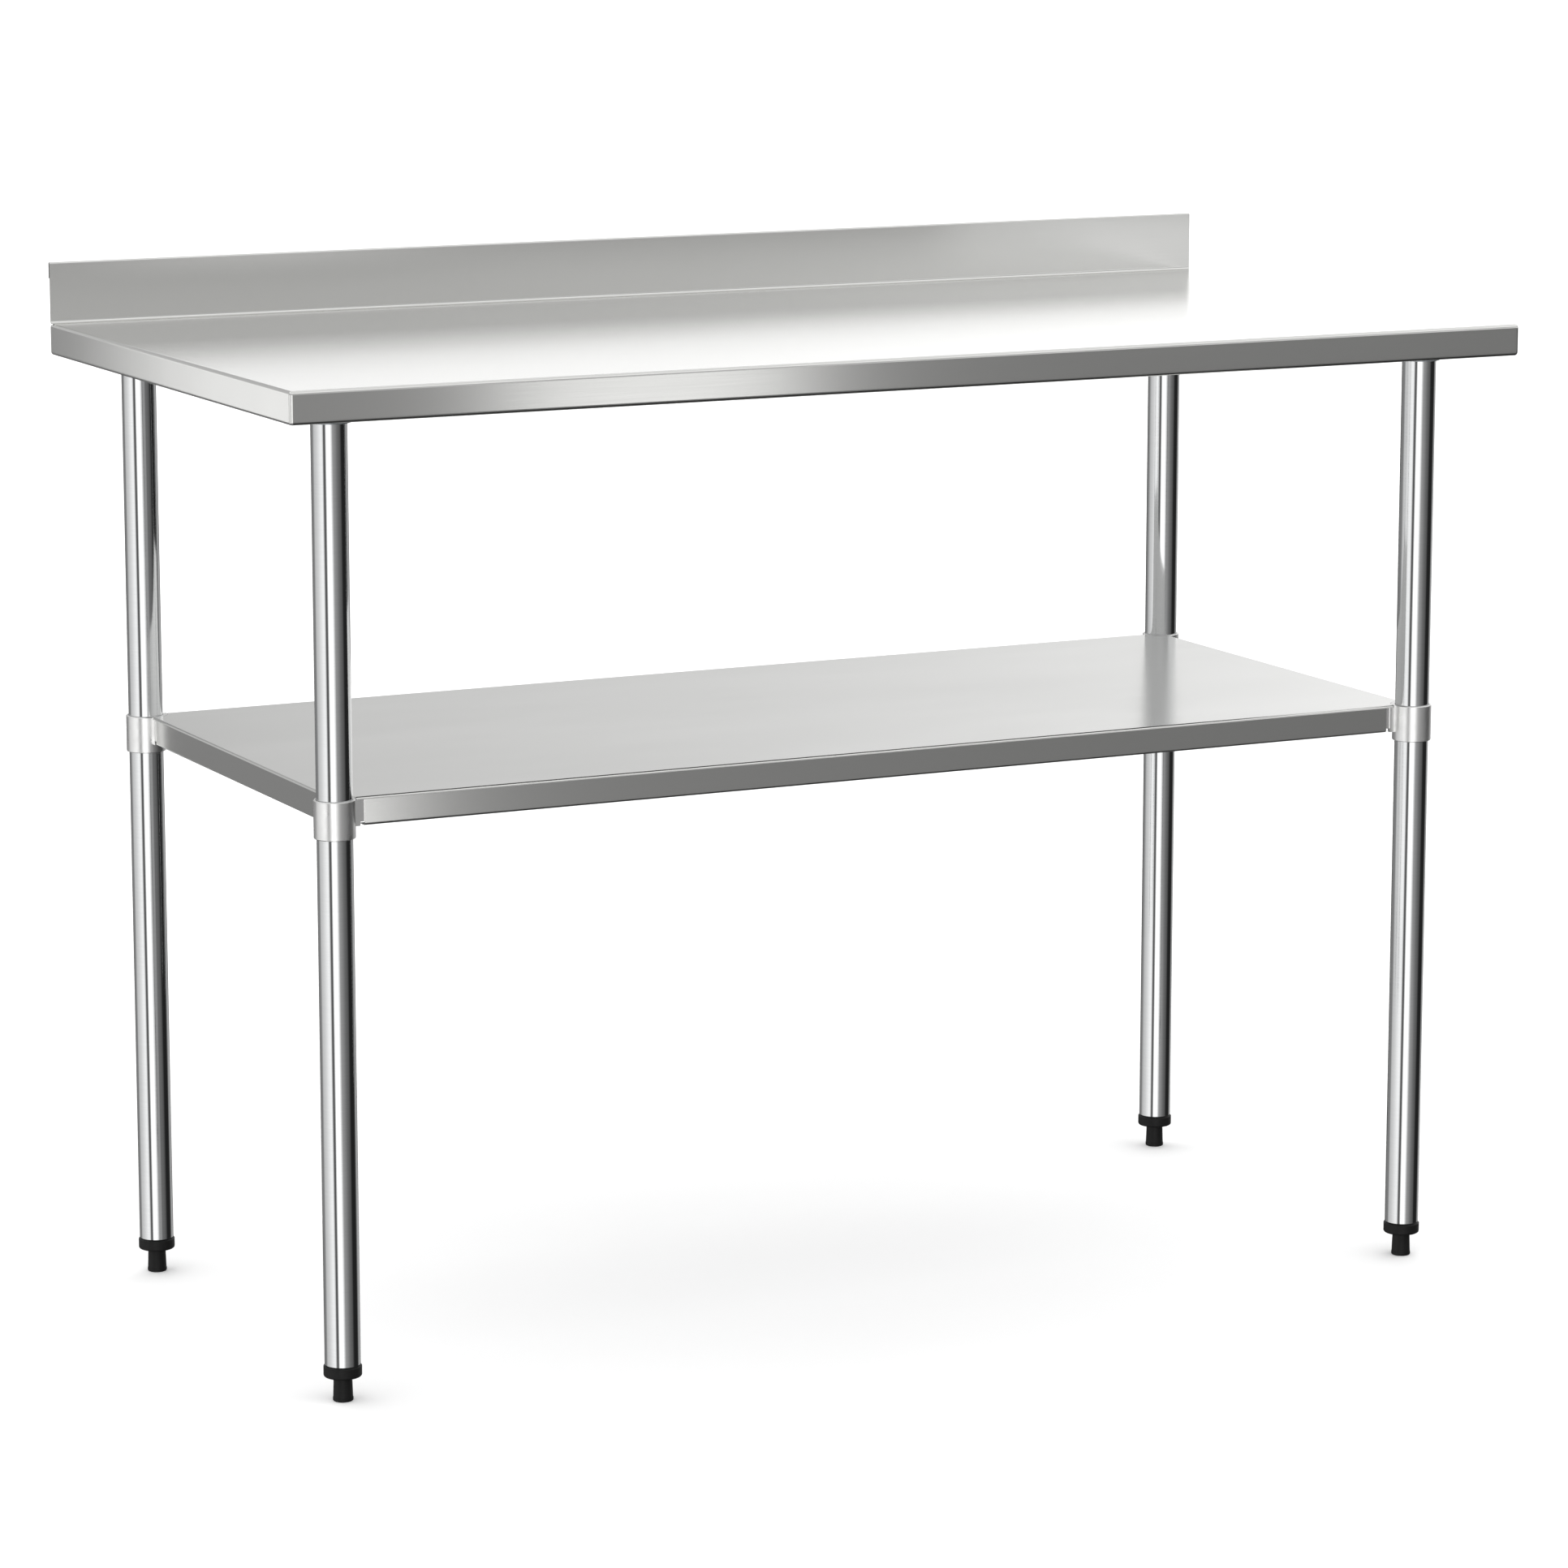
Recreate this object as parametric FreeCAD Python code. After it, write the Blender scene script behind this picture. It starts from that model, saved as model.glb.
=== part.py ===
import FreeCAD, Part
import math
import os

# Stainless steel work table with an upstand and one undershelf.
# Millimetres. X runs along the table, the front edge is at -Y, the upstand is at +Y and
# the floor is at Z = 0. The origin is under the middle of the table, on the floor.

# --- Overall sizes ---------------------------------------------------------------------

table_length = 1219.0
table_depth = 610.0
worktop_height = 900.0
upstand_height = 57.0
shelf_height = 537.0

# --- Worktop sheet ---------------------------------------------------------------------

worktop_sheet = 1.2
worktop_edge_drop = 29.0
worktop_bend_radius = 3.2
worktop_return_width = 12.0
upstand_cove_radius = 3.0
upstand_hem_drop = 15.0
upstand_hem_fold_radius = 1.2

# --- Legs: distance of each leg's axis from the worktop's edges, and the tube ---------------

leg_inset_end = 63.0
leg_inset_front = 72.0
leg_inset_back = 64.0
leg_diameter = 31.75
leg_wall = 1.2
leg_end_chamfer_width = 0.7
leg_end_chamfer_height = 1.6

# --- Hat channels under the worktop and under the shelf -----------------------------------

channel_sheet = 1.2
channel_depth = 20.0
channel_web_margin = 3.0
channel_flange_width = 18.0
channel_bend_radius = 1.5
channel_end_gap = 3.0
shelf_channel_depth = 16.0
shelf_channel_web_width = 80.0

# --- Weld studs and nuts that hold the worktop's channels -----------------------------------

weld_stud_radius = 3.0
weld_stud_length = 10.0
weld_stud_hole_clearance = 0.4
weld_stud_end_distance = 90.0
weld_nut_across_flats = 10.0
weld_nut_height = 5.0
thread_gap = 0.05

# --- Leg sockets ------------------------------------------------------------------------

socket_clearance = 0.2
socket_wall = 3.0
socket_roof = 3.0
socket_flange_thickness = 2.5
socket_flange_overhang = 8.0
socket_web_hole_clearance = 0.4
socket_sleeve_drop = 13.0
screw_boss_radius = 5.0
screw_boss_reach = 6.0
screw_boss_gap = 1.0

# --- Grub screws, in the sockets and in the shelf collars ----------------------------------

grub_radius = 3.0
grub_length = 10.0
grub_key_across_flats = 3.0
grub_key_depth = 3.0

# --- Shelf ------------------------------------------------------------------------------

shelf_sheet_thickness = 1.0
shelf_edge_drop = 25.5
shelf_bend_radius = 2.4
shelf_return_width = 10.0
shelf_corner_gap = 2.2
shelf_edge_cutback = 7.6

# --- Shelf collars ----------------------------------------------------------------------

collar_clearance = 0.35
collar_wall = 2.0
collar_height = 34.0
collar_rim_radius = 0.8
collar_arm_length = 62.0
collar_arm_thickness = 3.0
collar_arm_drop = 21.0
collar_plate_thickness = 3.0
collar_fill_gap = 0.3
collar_web_gap = 4.0

# --- Levelling feet ---------------------------------------------------------------------

foot_height = 22.0
foot_top_radius = 8.2
foot_bottom_radius = 8.8
foot_sole_radius = 9.1
foot_sole_height = 3.0
foot_sole_rounding = 1.3
foot_stop_gap = 0.3
insert_flange_overhang = 1.1
insert_flange_height = 9.7
insert_flange_rounding = 1.9
insert_plug_clearance = 0.15
insert_plug_length = 22.0
insert_plug_lead = 1.0
foot_nut_across_flats = 17.0
foot_nut_height = 8.0
foot_nut_pocket_gap = 0.1
foot_stud_radius = 5.0
foot_stud_clearance = 0.3
foot_stud_reach = 58.0
foot_stud_embedment = 14.0
foot_stud_chamfer = 1.0

# --- Places that follow from the sizes above ------------------------------------------------

end_x = table_length / 2
front_y = -table_depth / 2
back_y = table_depth / 2
leg_x = end_x - leg_inset_end
leg_front_y = front_y + leg_inset_front
leg_back_y = back_y - leg_inset_back
leg_radius = leg_diameter / 2
leg_bore_radius = leg_radius - leg_wall
worktop_underside = worktop_height - worktop_sheet
upstand_top = worktop_height + upstand_height
hem_thickness = worktop_sheet + 2 * upstand_hem_fold_radius
upstand_face_y = back_y - hem_thickness
upstand_rear_y = upstand_face_y + worktop_sheet
channel_web_underside = worktop_underside - channel_depth
socket_radius = leg_radius + socket_clearance + socket_wall
socket_flange_radius = socket_radius + socket_flange_overhang
channel_web_width = 2 * (socket_flange_radius + channel_web_margin)
socket_flange_underside = channel_web_underside - socket_flange_thickness
leg_top = worktop_underside - socket_roof
leg_bottom = foot_height + foot_stop_gap + insert_flange_height
insert_flange_radius = leg_radius + insert_flange_overhang
collar_bore_radius = leg_radius + collar_clearance
collar_radius = collar_bore_radius + collar_wall
shelf_cut_radius = collar_radius + shelf_corner_gap
shelf_edge_start = shelf_cut_radius + shelf_edge_cutback
shelf_fold_bottom = shelf_height - shelf_bend_radius
shelf_underside = shelf_height - shelf_sheet_thickness

# Direction in degrees from the front left leg towards the middle of the table, where its screws are.
diagonal = 45

# Each leg's name, with the signs of its X and Y.
corners = {
    "front_left": (-1, -1),
    "front_right": (1, -1),
    "back_left": (-1, 1),
    "back_right": (1, 1),
}


# --- Plain shapes -------------------------------------------------------------------------

def block(x_range, y_range, z_range):
    """Box between two values on each axis."""
    corner = FreeCAD.Vector(min(x_range), min(y_range), min(z_range))
    sizes = [max(r) - min(r) for r in (x_range, y_range, z_range)]
    return Part.makeBox(*sizes, corner)


def rod(radius, bottom, top):
    """Upright cylinder on the Z axis."""
    return Part.makeCylinder(radius, top - bottom, FreeCAD.Vector(0, 0, bottom))


def hexagon(across_flats, bottom, top):
    """Upright hexagonal bar on the Z axis."""
    corner_radius = across_flats / math.sqrt(3)
    points = []
    for index in range(7):
        angle = math.radians(60 * index)
        x = corner_radius * math.cos(angle)
        y = corner_radius * math.sin(angle)
        points.append(FreeCAD.Vector(x, y, bottom))
    outline = Part.Face(Part.makePolygon(points))
    return outline.extrude(FreeCAD.Vector(0, 0, top - bottom))


def turned(outline):
    """Solid of revolution about Z from (radius, height) points; a third value rounds that point."""
    points = [FreeCAD.Vector(point[0], 0, point[1]) for point in outline]
    edges = []
    ends = []
    for index, point in enumerate(outline):
        here = points[index]
        rounding = point[2] if len(point) > 2 else 0
        if rounding == 0:
            ends.append((here, here))
            continue
        before = (points[index - 1] - here).normalize()
        after = (points[(index + 1) % len(points)] - here).normalize()
        half_angle = before.getAngle(after) / 2
        reach = rounding / math.tan(half_angle)
        start = here + before * reach
        finish = here + after * reach
        towards_centre = (before + after).normalize()
        middle = here + towards_centre * (rounding / math.sin(half_angle) - rounding)
        edges.append(Part.Arc(start, middle, finish).toShape())
        ends.append((start, finish))
    for index, (start, finish) in enumerate(ends):
        next_start = ends[(index + 1) % len(ends)][0]
        edges.append(Part.makeLine(finish, next_start))
    outline_face = Part.Face(Part.Wire(Part.__sortEdges__(edges)))
    return outline_face.revolve(FreeCAD.Vector(0, 0, 0), FreeCAD.Vector(0, 0, 1), 360)


def moved(shape, x, y, z=0):
    """Copy of a shape, moved."""
    return shape.translated(FreeCAD.Vector(x, y, z))


def turned_about_z(shape, angle):
    """Copy of a shape, turned about the Z axis by an angle in degrees."""
    return shape.rotated(FreeCAD.Vector(0, 0, 0), FreeCAD.Vector(0, 0, 1), angle)


def pointing_inward(shape):
    """Copy of a shape that points along +X, turned to the diagonal of the front left corner."""
    return turned_about_z(shape, diagonal)


def lying(shape):
    """Copy of a shape built upright, laid down so that its +Z points along +X."""
    return shape.rotated(FreeCAD.Vector(0, 0, 0), FreeCAD.Vector(0, 1, 0), 90)


# --- Folded sheet ---------------------------------------------------------------------------

def folded_section(points, radii, thickness, place):
    """Face across a bent sheet. Its middle line joins the points, with a radius at each inner point."""
    flat = [FreeCAD.Vector(a, b, 0) for a, b in points]
    directions = [(end - start).normalize() for start, end in zip(flat, flat[1:])]
    normals = [FreeCAD.Vector(-d.y, d.x, 0) for d in directions]
    edges = []
    caps = []
    for side in (1, -1):
        offset = side * thickness / 2
        pen = flat[0] + normals[0] * offset
        first = pen
        for index, radius in enumerate(radii):
            bend = flat[index + 1]
            before, after = directions[index], directions[index + 1]
            turn = math.copysign(1, before.x * after.y - before.y * after.x)
            reach = radius * math.tan(before.getAngle(after) / 2)
            centre = bend - before * reach + normals[index] * (radius * turn)
            arc_start = bend - before * reach + normals[index] * offset
            arc_end = bend + after * reach + normals[index + 1] * offset
            arc_middle = centre + (bend - centre).normalize() * (radius - turn * offset)
            if (arc_start - pen).Length > 1e-6:
                edges.append(Part.makeLine(pen, arc_start))
            edges.append(Part.Arc(arc_start, arc_middle, arc_end).toShape())
            pen = arc_end
        last = flat[-1] + normals[-1] * offset
        edges.append(Part.makeLine(pen, last))
        caps.append((first, last))
    edges.append(Part.makeLine(caps[0][0], caps[1][0]))
    edges.append(Part.makeLine(caps[0][1], caps[1][1]))
    face = Part.Face(Part.Wire(Part.__sortEdges__(edges)))
    face.Placement = place
    return face


def section_along_x(start_x):
    """Placement that puts a section's two axes on Y and Z, at start_x."""
    turn = FreeCAD.Rotation(FreeCAD.Vector(0, 1, 0), FreeCAD.Vector(0, 0, 1), FreeCAD.Vector(1, 0, 0), "XYZ")
    return FreeCAD.Placement(FreeCAD.Vector(start_x, 0, 0), turn)


def section_along_y(start_y):
    """Placement that puts a section's two axes on X and Z, at start_y."""
    turn = FreeCAD.Rotation(FreeCAD.Vector(1, 0, 0), FreeCAD.Vector(0, 0, 1), FreeCAD.Vector(0, -1, 0), "XYZ")
    return FreeCAD.Placement(FreeCAD.Vector(0, start_y, 0), turn)


def rounded_block(x_range, y_range, z_range, radius):
    """Box with every edge rounded."""
    shape = block(x_range, y_range, z_range)
    return shape.makeFillet(radius, shape.Edges)


def folded_pan(x_range, y_range, z_range, thickness, bend_radius, return_width):
    """Upside-down tray of sheet, with turned-down edges and a flat return round its open bottom."""
    def inset(limits, amount):
        return min(limits) + amount, max(limits) - amount

    outside = rounded_block(x_range, y_range, z_range, bend_radius)
    hollow_ranges = [inset(limits, thickness) for limits in (x_range, y_range, z_range)]
    hollow = rounded_block(*hollow_ranges, bend_radius - thickness)
    mouth_heights = (min(z_range) - 1, max(z_range) - bend_radius)
    mouth = block(inset(x_range, return_width), inset(y_range, return_width), mouth_heights)
    return outside.cut(hollow).cut(mouth)


def hat_points(web_width, depth, underside):
    """Middle line of a hat channel that hangs below a flat surface, from one flange to the other."""
    half_web = web_width / 2 - channel_sheet / 2
    outer = web_width / 2 + channel_flange_width
    high = underside - channel_sheet / 2
    low = underside - depth + channel_sheet / 2
    left_half = [(-outer, high), (-half_web, high), (-half_web, low)]
    right_half = [(-a, b) for a, b in reversed(left_half)]
    return left_half + right_half


def hat_channel(web_width, depth, underside, start, length, along):
    """Hat channel under a flat surface, along X or Y, with its flanges against the surface."""
    place = section_along_x(start) if along == "x" else section_along_y(start)
    direction = FreeCAD.Vector(1, 0, 0) if along == "x" else FreeCAD.Vector(0, 1, 0)
    points = hat_points(web_width, depth, underside)
    middle_radii = [channel_bend_radius + channel_sheet / 2] * 4
    section = folded_section(points, middle_radii, channel_sheet, place)
    return section.extrude(direction * length)


# --- Worktop ------------------------------------------------------------------------------

def worktop():
    """Top, turned-down edges and upstand, folded from one sheet. The back is open below the upstand."""
    x_range = (-end_x, end_x)
    z_range = (worktop_height - worktop_edge_drop, worktop_height)
    past_back = back_y + 2 * worktop_return_width
    pan = folded_pan(
        x_range, (front_y, past_back), z_range, worktop_sheet, worktop_bend_radius, worktop_return_width
    )
    joint_y = upstand_face_y - 2 * upstand_cove_radius
    behind_joint = block(x_range, (joint_y, past_back), (worktop_underside, worktop_height))
    behind_upstand = block(x_range, (upstand_rear_y, past_back), z_range)
    pan = pan.cut(behind_joint).cut(behind_upstand)

    # The strip from just in front of the cove, up the upstand and over its hem.
    half = worktop_sheet / 2
    strip_points = [
        (joint_y, worktop_height - half),
        (upstand_face_y + half, worktop_height - half),
        (upstand_face_y + half, upstand_top - half),
        (back_y - half, upstand_top - half),
        (back_y - half, upstand_top - upstand_hem_drop),
    ]
    fold = upstand_hem_fold_radius
    strip_radii = [upstand_cove_radius + half, fold, fold]
    strip = folded_section(strip_points, strip_radii, worktop_sheet, section_along_x(-end_x))
    strip = strip.extrude(FreeCAD.Vector(table_length, 0, 0))

    # Where the strip crosses the turned-down ends it follows their rounded top edge.
    rounded_ends = rounded_block(x_range, (front_y, past_back), z_range, worktop_bend_radius)
    above = block(x_range, (joint_y, back_y), (worktop_height, upstand_top))
    strip = strip.common(rounded_ends.fuse(above))
    return pan.fuse(strip).removeSplitter()


def cross_channel(side):
    """Channel under one end of the worktop, with a hole in its web for each of its two leg sockets."""
    start = front_y + worktop_sheet + channel_end_gap
    length = upstand_face_y - channel_end_gap - start
    channel = hat_channel(channel_web_width, channel_depth, worktop_underside, start, length, "y")
    channel = moved(channel, side * leg_x, 0)
    hole = rod(socket_radius + socket_web_hole_clearance, channel_web_underside - 1, worktop_underside)
    for y in (leg_front_y, leg_back_y):
        channel = channel.cut(moved(hole, side * leg_x, y))
    return with_stud_holes(channel)


def long_channel():
    """Channel between the two cross channels, midway between the front and back legs."""
    reach = leg_x - channel_web_width / 2 - channel_flange_width
    channel = hat_channel(channel_web_width, channel_depth, worktop_underside, -reach, 2 * reach, "x")
    channel = moved(channel, 0, (leg_front_y + leg_back_y) / 2)
    return with_stud_holes(channel)


def weld_stud_places():
    """X and Y of every weld stud: along the middle of each channel's two flanges."""
    off_middle = channel_web_width / 2 + channel_flange_width / 2
    places = []
    for side in (-1, 1):
        for edge in (-1, 1):
            for y in (front_y + weld_stud_end_distance, back_y - weld_stud_end_distance):
                places.append((side * leg_x + edge * off_middle, y))
    channel_y = (leg_front_y + leg_back_y) / 2
    long_reach = leg_x - channel_web_width / 2 - channel_flange_width - weld_stud_end_distance
    for x in (-long_reach, 0, long_reach):
        for edge in (-1, 1):
            places.append((x, channel_y + edge * off_middle))
    return places


def with_stud_holes(channel):
    """Channel with a hole wherever a weld stud passes through it."""
    hole_radius = weld_stud_radius + weld_stud_hole_clearance
    hole = rod(hole_radius, worktop_underside - weld_stud_length, worktop_underside)
    for x, y in weld_stud_places():
        channel = channel.cut(moved(hole, x, y))
    return channel


def channel_studs():
    """Studs welded to the underside of the worktop."""
    stud = rod(weld_stud_radius, worktop_underside - weld_stud_length, worktop_underside)
    return Part.makeCompound([moved(stud, x, y) for x, y in weld_stud_places()])


def channel_nuts():
    """Nuts on the weld studs, against the channels' flanges."""
    top = worktop_underside - channel_sheet
    bottom = top - weld_nut_height
    nut = hexagon(weld_nut_across_flats, bottom, top).cut(rod(weld_stud_radius + thread_gap, bottom, top))
    return Part.makeCompound([moved(nut, x, y) for x, y in weld_stud_places()])


# --- Screws that grip the legs --------------------------------------------------------------

def grub_screw(tip_radius, height):
    """Screw that points at a leg, its tip at tip_radius from the axis, with a key hole in its tail."""
    screw = rod(grub_radius, 0, grub_length)
    key = hexagon(grub_key_across_flats, grub_length - grub_key_depth, grub_length)
    return pointing_inward(moved(lying(screw.cut(key)), tip_radius, 0, height))


def screw_boss(inner_radius, outer_radius, height):
    """Round boss on a sleeve, before its hole is drilled."""
    boss = lying(rod(screw_boss_radius, inner_radius, outer_radius))
    return pointing_inward(moved(boss, 0, 0, height))


def screw_hole(height):
    """Hole for a grub screw, out from a leg's axis."""
    hole = rod(grub_radius + thread_gap, 0, leg_radius + 2 * grub_length)
    return pointing_inward(moved(lying(hole), 0, 0, height))


# --- Leg sockets and legs --------------------------------------------------------------------

socket_screw_height = socket_flange_underside - screw_boss_radius - screw_boss_gap
socket_bottom = socket_flange_underside - socket_sleeve_drop


def leg_socket():
    """Cup through the channel's web. Its roof meets the worktop and its flange meets the web."""
    cup = rod(socket_radius, socket_bottom, worktop_underside)
    flange = rod(socket_flange_radius, socket_flange_underside, channel_web_underside)
    boss = screw_boss(leg_radius + socket_clearance, socket_radius + screw_boss_reach, socket_screw_height)
    socket = cup.fuse(flange).fuse(boss)
    socket = socket.cut(rod(leg_radius + socket_clearance, socket_bottom - 1, leg_top))
    return socket.cut(screw_hole(socket_screw_height))


def leg_tube():
    """Leg, with a small chamfer round its bottom end."""
    return turned([
        (leg_bore_radius, leg_bottom),
        (leg_radius - leg_end_chamfer_width, leg_bottom),
        (leg_radius, leg_bottom + leg_end_chamfer_height),
        (leg_radius, leg_top),
        (leg_bore_radius, leg_top),
    ])


# --- Levelling feet -----------------------------------------------------------------------

insert_bottom = leg_bottom - insert_flange_height
insert_top = leg_bottom + insert_plug_length


def foot_insert():
    """Plug in the end of a leg, with a flange below it and a pocket for a nut in its top."""
    plug_radius = leg_bore_radius - insert_plug_clearance
    body = turned([
        (0, insert_bottom),
        (insert_flange_radius, insert_bottom, insert_flange_rounding),
        (insert_flange_radius, leg_bottom, leg_end_chamfer_width),
        (plug_radius, leg_bottom),
        (plug_radius, insert_top - insert_plug_lead),
        (plug_radius - insert_plug_lead, insert_top),
        (0, insert_top),
    ])
    pocket_width = foot_nut_across_flats + 2 * foot_nut_pocket_gap
    pocket = hexagon(pocket_width, insert_top - foot_nut_height, insert_top)
    bore = rod(foot_stud_radius + foot_stud_clearance, insert_bottom - 1, insert_top)
    return body.cut(pocket).cut(bore)


def foot_nut():
    """Nut in the insert's pocket."""
    bottom = insert_top - foot_nut_height
    bore = rod(foot_stud_radius + foot_stud_clearance, bottom, insert_top)
    return hexagon(foot_nut_across_flats, bottom, insert_top).cut(bore)


def foot_stud():
    """Stud that stands in the foot and runs up through the nut."""
    bottom = foot_height - foot_stud_embedment
    top = foot_height + foot_stud_reach
    return turned([
        (0, bottom),
        (foot_stud_radius, bottom),
        (foot_stud_radius, top - foot_stud_chamfer),
        (foot_stud_radius - foot_stud_chamfer, top),
        (0, top),
    ])


def levelling_foot():
    """Foot that widens slightly towards a rounded sole."""
    body = turned([
        (0, 0),
        (foot_sole_radius, 0, foot_sole_rounding),
        (foot_sole_radius, foot_sole_height),
        (foot_bottom_radius, foot_sole_height),
        (foot_top_radius, foot_height),
        (0, foot_height),
    ])
    socket_depth = foot_height - foot_stud_embedment
    return body.cut(rod(foot_stud_radius + foot_stud_clearance, socket_depth, foot_height))


# --- Shelf --------------------------------------------------------------------------------

def shelf():
    """Shelf sheet. Its edges run through the leg axes, and each corner is cut round its collar.

    The turned-down edges stop further from the legs than the flat of the sheet does.
    """
    z_range = (shelf_height - shelf_edge_drop, shelf_height)
    sheet = folded_pan(
        (-leg_x, leg_x), (leg_front_y, leg_back_y), z_range, shelf_sheet_thickness, shelf_bend_radius,
        shelf_return_width
    )
    below_fold = (min(z_range) - 1, shelf_fold_bottom)
    square = (-shelf_edge_start, shelf_edge_start)
    cutter = rod(shelf_cut_radius, min(z_range) - 1, shelf_height + 1)
    cutter = cutter.fuse(block(square, square, below_fold))
    for name in corners:
        sheet = sheet.cut(moved(cutter, *leg_place(name)))
    return sheet


def shelf_channel():
    """Channel along the middle of the shelf's underside."""
    web, depth = shelf_channel_web_width, shelf_channel_depth
    reach = leg_x - shelf_sheet_thickness - channel_end_gap
    channel = hat_channel(web, depth, shelf_underside, -reach, 2 * reach, "x")
    return moved(channel, 0, (leg_front_y + leg_back_y) / 2)


collar_screw_height = shelf_underside - collar_plate_thickness - screw_boss_radius - screw_boss_gap


def shelf_collar():
    """Collar for the front left leg, with the shelf towards +X and +Y."""
    bottom = shelf_height - collar_height
    sleeve = rod(collar_radius, bottom, shelf_height)
    rims = [edge for edge in sleeve.Edges if isinstance(edge.Curve, Part.Circle)]
    sleeve = sleeve.makeFillet(collar_rim_radius, rims)

    # Flat plate welded under the shelf, with its inner edge cut on the slant. It starts where the
    # shelf's rounded fold ends.
    near = shelf_bend_radius
    far = collar_arm_length
    slant = near + collar_arm_thickness
    corner_points = [(near, near), (far, near), (far, slant), (slant, far), (near, far), (near, near)]
    plate_bottom = shelf_underside - collar_plate_thickness
    outline = Part.makePolygon([FreeCAD.Vector(x, y, plate_bottom) for x, y in corner_points])
    plate = Part.Face(outline).extrude(FreeCAD.Vector(0, 0, collar_plate_thickness))

    # Arms inside the shelf's two turned-down edges, below the fold.
    arm_heights = (shelf_underside - collar_arm_drop, shelf_fold_bottom)
    across = (shelf_sheet_thickness, shelf_sheet_thickness + collar_arm_thickness)
    along = (shelf_sheet_thickness, collar_arm_length)
    front_arm = block(along, across, arm_heights)
    side_arm = block(across, along, arm_heights)

    # Webs between the sleeve and the ends of the turned-down edges, flush with those edges.
    web_heights = (shelf_height - shelf_edge_drop, shelf_fold_bottom)
    web_across = (0, shelf_sheet_thickness + collar_arm_thickness)
    web_along = (0, shelf_edge_start - collar_web_gap)
    front_web = block(web_along, web_across, web_heights)
    side_web = block(web_across, web_along, web_heights)

    # Filling between the sleeve and the round corner of the shelf, level with the shelf.
    filling = rod(shelf_cut_radius - collar_fill_gap, plate_bottom, shelf_height)
    quarter = (0, shelf_cut_radius)
    filling = filling.common(block(quarter, quarter, (plate_bottom, shelf_height)))

    boss = screw_boss(collar_bore_radius, collar_radius + screw_boss_reach, collar_screw_height)
    collar = sleeve.multiFuse([plate, front_arm, side_arm, front_web, side_web, filling, boss])
    collar = collar.cut(rod(collar_bore_radius, bottom - 1, shelf_height + 1))
    return collar.cut(screw_hole(collar_screw_height)).removeSplitter()


# --- Placing the four corners ------------------------------------------------------------------

def leg_place(name):
    """X and Y of a leg's axis."""
    side, end = corners[name]
    return side * leg_x, leg_back_y if end > 0 else leg_front_y


def at_corner(shape, name):
    """Copy of a shape made for the front left leg at the origin, turned for a leg and moved to it."""
    side, end = corners[name]
    inward_angle = math.degrees(math.atan2(-end, -side))
    return moved(turned_about_z(shape, inward_angle - diagonal), *leg_place(name))


def write(name, shape):
    """Write one piece, as one file."""
    if not shape.isValid():
        raise ValueError(name + " is not a valid shape")
    solids = len(shape.Solids)
    shape.exportStep("parts/" + name + ".step")
    print(name, solids, "solids", round(shape.Volume), "mm3")


def main():
    os.makedirs("parts", exist_ok=True)
    write("worktop_sheet", worktop())
    write("cross_channel_left", cross_channel(-1))
    write("cross_channel_right", cross_channel(1))
    write("long_channel", long_channel())
    write("channel_studs", channel_studs())
    write("channel_nuts", channel_nuts())
    write("shelf_sheet", shelf())
    write("shelf_channel", shelf_channel())

    corner_pieces = {
        "leg_socket": leg_socket(),
        "socket_screw": grub_screw(leg_radius, socket_screw_height),
        "leg_tube": leg_tube(),
        "foot_insert": foot_insert(),
        "foot_nut": foot_nut(),
        "foot_stud": foot_stud(),
        "levelling_foot": levelling_foot(),
        "shelf_collar": shelf_collar(),
        "collar_screw": grub_screw(collar_bore_radius, collar_screw_height),
    }
    for corner in corners:
        for piece, shape in corner_pieces.items():
            write(piece + "_" + corner, at_corner(shape, corner))


main()
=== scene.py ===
import math

import bmesh
import bpy
from bpy.props import FloatProperty, FloatVectorProperty, IntProperty, PointerProperty, StringProperty
from mathutils import Matrix, Vector


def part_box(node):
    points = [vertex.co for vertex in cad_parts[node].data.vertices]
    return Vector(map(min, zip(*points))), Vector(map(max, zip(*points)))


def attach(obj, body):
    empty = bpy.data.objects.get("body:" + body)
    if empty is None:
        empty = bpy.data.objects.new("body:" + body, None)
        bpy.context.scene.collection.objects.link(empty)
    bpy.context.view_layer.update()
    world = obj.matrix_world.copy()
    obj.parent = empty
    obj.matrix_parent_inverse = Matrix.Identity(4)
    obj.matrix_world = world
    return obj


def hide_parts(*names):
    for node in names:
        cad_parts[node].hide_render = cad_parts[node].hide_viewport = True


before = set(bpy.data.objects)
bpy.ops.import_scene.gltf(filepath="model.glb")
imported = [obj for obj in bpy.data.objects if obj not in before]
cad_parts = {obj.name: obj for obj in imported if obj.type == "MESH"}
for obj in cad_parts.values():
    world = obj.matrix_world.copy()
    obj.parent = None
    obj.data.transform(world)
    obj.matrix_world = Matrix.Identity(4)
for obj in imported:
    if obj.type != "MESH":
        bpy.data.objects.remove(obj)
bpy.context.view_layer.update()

bl_info = {
    "name": "Stainless work table",
    "version": (1, 0, 0),
    "blender": (4, 5, 0),
    "location": "View3D > Sidebar > Work table",
    "description": "Finishes, threads and welds for a stainless steel work table with an undershelf",
    "category": "Object",
}

MM = 0.001
CORNERS = ("front_left", "front_right", "back_left", "back_right")

# Sizes of the solids that the detailed pieces have to fit.
WELD_STUD_RADIUS = 3.0 * MM
WELD_NUT_ACROSS = 10.0 * MM
WELD_NUT_BORE = 3.05 * MM
FOOT_NUT_BORE_SHARE = 0.312
CHANNEL_SHEET = 1.2 * MM
COLLAR_SLANT = 5.0 * MM

# Share of a thread's pitch that its groove is deep.
THREAD_DEPTH_SHARE = 0.61

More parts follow.
